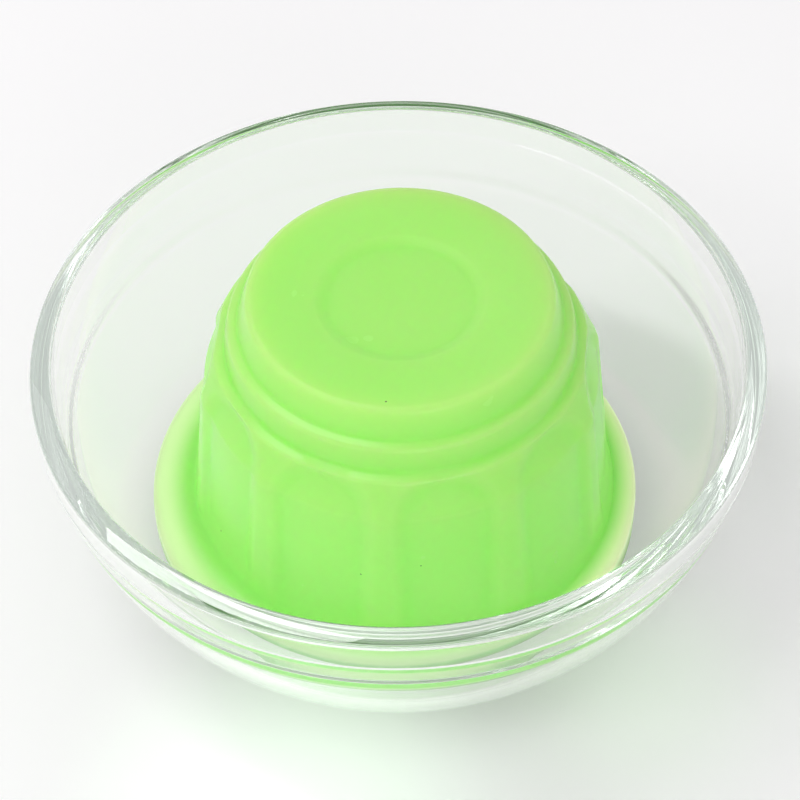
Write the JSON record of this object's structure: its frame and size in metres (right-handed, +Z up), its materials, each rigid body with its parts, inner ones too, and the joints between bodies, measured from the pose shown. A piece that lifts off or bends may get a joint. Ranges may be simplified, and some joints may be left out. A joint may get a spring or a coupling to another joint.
{
  "type": "gel dessert in a glass bowl",
  "caption": "Round clear glass bowl with a banded rim, holding a loose green gel turned out of a stepped, fluted cup onto a thin slumped skirt.",
  "frame": {"origin": "centre of the bowl's foot, on the table", "axes": "+Z up along the bowl's axis; the near side is -Y; the gel's body stands a little to +X and its skirt has slumped to -X"},
  "size_m": [0.12, 0.12, 0.0647],
  "materials": {
    "clear_glass": "polished",
    "green_gel": "gloss"
  },
  "bodies": {
    "bowl": {"glass_bowl": "clear_glass"},
    "gel": {"jelly": "green_gel"}
  },
  "joints": [
    {"name": "jelly_lift", "type": "slide", "parent": "bowl", "child": "gel", "axis": [0, 0, 1], "range_m": [0, 0.065]}
  ]
}
